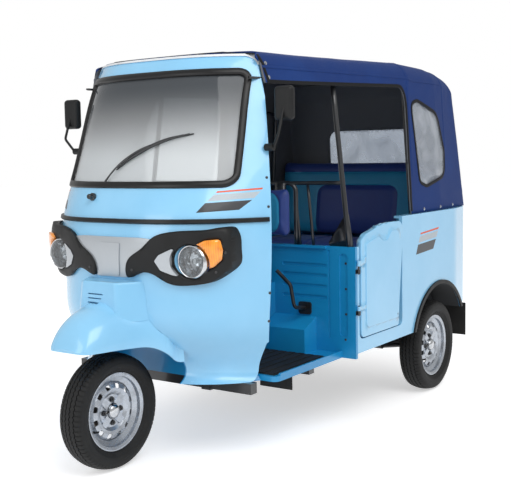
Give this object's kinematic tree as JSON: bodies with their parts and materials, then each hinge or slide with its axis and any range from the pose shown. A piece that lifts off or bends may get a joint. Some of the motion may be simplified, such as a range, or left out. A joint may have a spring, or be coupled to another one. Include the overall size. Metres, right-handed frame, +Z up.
{
  "type": "three-wheeled passenger auto rickshaw",
  "caption": "Three-wheeled passenger auto rickshaw with a pressed steel cab, a single steered front wheel, an open passenger tub with half doors and a fabric canopy.",
  "frame": {"origin": "centre of the bounding box on the ground", "axes": "+X towards the front, +Y to the vehicle's left, +Z up"},
  "size_m": [2.7, 1.344, 1.78],
  "materials": {
    "body_blue": "gloss",
    "inner_blue": "gloss",
    "black_plastic": "satin",
    "black_rubber": "matte",
    "black_steel": "satin",
    "silver_trim": "satin",
    "rim_steel": "satin",
    "drum_iron": "satin",
    "tyre": "matte",
    "clear_glass": "gloss",
    "lamp_glass": "gloss",
    "amber_lens": "gloss",
    "red_lens": "gloss",
    "white_trim": "gloss",
    "mirror_glass": "gloss",
    "seat_vinyl": "satin",
    "canopy_vinyl": "satin",
    "film": "gloss",
    "unit_alloy": "satin",
    "spring_steel": "satin"
  },
  "bodies": {
    "chassis": {"cab_cowl": "body_blue", "wheel_well": "inner_blue", "windscreen_glass": "clear_glass", "windscreen_gasket": "black_rubber", "waist_strip": "black_plastic", "lamp_bezels": "black_plastic", "headlamps": "lamp_glass", "indicators": "amber_lens", "grille_trim": "silver_trim", "header_strip": "white_trim", "wiper": "black_steel", "front_fender": "body_blue", "dashboard": "black_plastic", "mirrors": "black_plastic", "mirror_panes": "mirror_glass", "floor_pan": "inner_blue", "floor_mat": "black_rubber", "partition_wall": "inner_blue", "driver_seat_stand": "inner_blue", "driver_seat_cushion": "seat_vinyl", "driver_backrest": "seat_vinyl", "guard_rail": "black_steel", "driver_controls": "black_steel", "chassis_frame": "black_steel", "rear_arms": "black_steel", "rear_springs": "spring_steel", "drive_unit": "unit_alloy", "mudflaps": "black_rubber", "rear_body": "body_blue", "arch_trims": "black_plastic", "door_hinges": "body_blue", "rear_bench_base": "inner_blue", "battery_pack": "unit_alloy", "rear_seat_cushion": "seat_vinyl", "rear_backrest": "seat_vinyl", "tail_lamps": "red_lens", "rear_bumper": "black_plastic", "canopy": "canopy_vinyl", "canopy_windows": "film", "canopy_frame": "black_steel"},
    "left_door": {"left_door": "body_blue"},
    "right_door": {"right_door": "body_blue"},
    "steering": {"steering_fork": "black_steel", "front_shock": "spring_steel", "handlebar": "black_steel", "handlebar_pod": "black_plastic", "handlebar_grips": "black_rubber"},
    "front_wheel": {"front_tyre": "tyre", "front_rim": "rim_steel", "front_hub": "drum_iron"},
    "rear_left_wheel": {"rear_left_tyre": "tyre", "rear_left_rim": "rim_steel", "rear_left_hub": "drum_iron"},
    "rear_right_wheel": {"rear_right_tyre": "tyre", "rear_right_rim": "rim_steel", "rear_right_hub": "drum_iron"}
  },
  "joints": [
    {"name": "steering", "type": "hinge", "parent": "chassis", "child": "steering", "pos_m": [1.103, 0, 0.247], "axis": [-0.3987, 0, 0.9171], "range_deg": [-38, 38]},
    {"name": "front_wheel_spin", "type": "hinge", "parent": "steering", "child": "front_wheel", "pos_m": [1.103, 0, 0.247], "axis": [0, 1, 0], "continuous": true},
    {"name": "rear_left_wheel_spin", "type": "hinge", "parent": "chassis", "child": "rear_left_wheel", "pos_m": [-0.817, 0.58, 0.247], "axis": [0, 1, 0], "continuous": true},
    {"name": "rear_right_wheel_spin", "type": "hinge", "parent": "chassis", "child": "rear_right_wheel", "pos_m": [-0.817, -0.58, 0.247], "axis": [0, 1, 0], "continuous": true},
    {"name": "left_door_swing", "type": "hinge", "parent": "chassis", "child": "left_door", "pos_m": [0.118, 0.664, 0.68], "axis": [0, 0, -1], "range_deg": [0, 75]},
    {"name": "right_door_swing", "type": "hinge", "parent": "chassis", "child": "right_door", "pos_m": [0.118, -0.664, 0.68], "axis": [0, 0, 1], "range_deg": [0, 75]}
  ]
}
